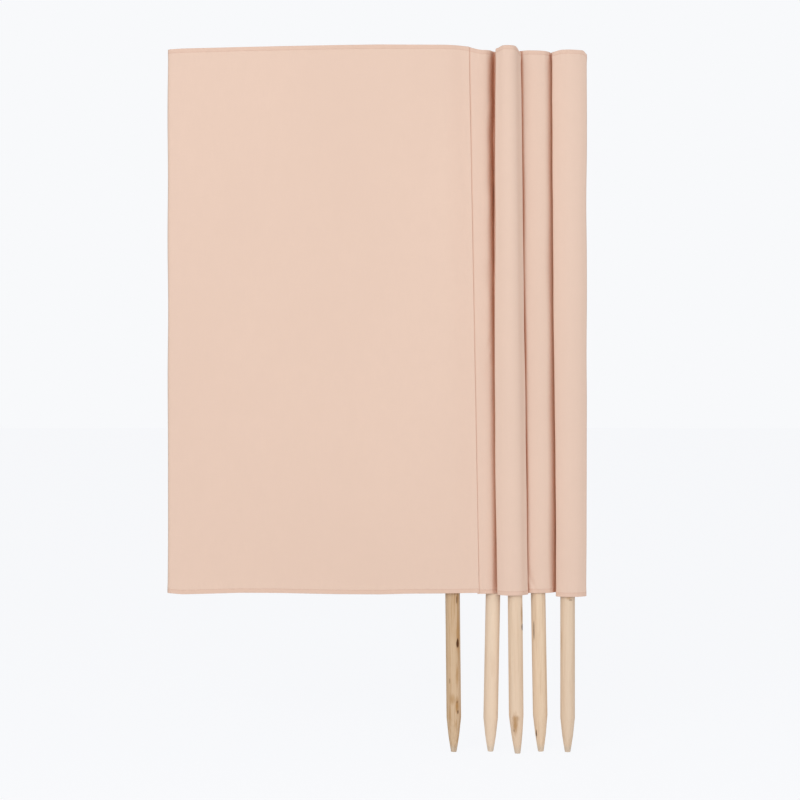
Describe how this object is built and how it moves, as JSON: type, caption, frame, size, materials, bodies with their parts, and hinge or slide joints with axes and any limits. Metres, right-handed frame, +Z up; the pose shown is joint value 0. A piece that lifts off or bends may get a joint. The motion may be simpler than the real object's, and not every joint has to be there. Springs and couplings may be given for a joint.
{
  "type": "beach windbreak",
  "caption": "Beach windbreak of plain peach cloth on round pointed wooden poles, gathered with its bays folded to one side.",
  "frame": {"origin": "centre of the flat end of the point of pole 1, the upright pole at the free edge of the bundle", "axes": "+Z up along pole 1, -Y towards the viewer, +X to the viewer's right; the cloth runs to -X"},
  "size_m": [0.7217, 0.0799, 1.2111],
  "materials": {
    "wood": "raw",
    "cloth": "matt"
  },
  "bodies": {
    "root": {"pole_1": "wood", "pole_2": "wood", "pole_3": "wood", "pole_4": "wood", "pole_5": "wood", "pocket_1": "cloth", "pocket_1_seam": "cloth", "pocket_1_bottom_hem": "cloth", "pocket_1_top_hem": "cloth", "pocket_2": "cloth", "pocket_2_seam": "cloth", "pocket_2_bottom_hem": "cloth", "pocket_2_top_hem": "cloth", "pocket_3": "cloth", "pocket_3_seam": "cloth", "pocket_3_bottom_hem": "cloth", "pocket_3_top_hem": "cloth", "pocket_4": "cloth", "pocket_4_seam": "cloth", "pocket_4_bottom_hem": "cloth", "pocket_4_top_hem": "cloth", "pocket_5": "cloth", "pocket_5_seam": "cloth", "pocket_5_bottom_hem": "cloth", "pocket_5_top_hem": "cloth", "bay_1": "cloth", "bay_1_bottom_hem": "cloth", "bay_1_top_hem": "cloth", "bay_2": "cloth", "bay_2_bottom_hem": "cloth", "bay_2_top_hem": "cloth", "bay_3": "cloth", "bay_3_bottom_hem": "cloth", "bay_3_top_hem": "cloth", "bay_4": "cloth", "bay_4_bottom_hem": "cloth", "bay_4_top_hem": "cloth"}
  },
  "joints": []
}
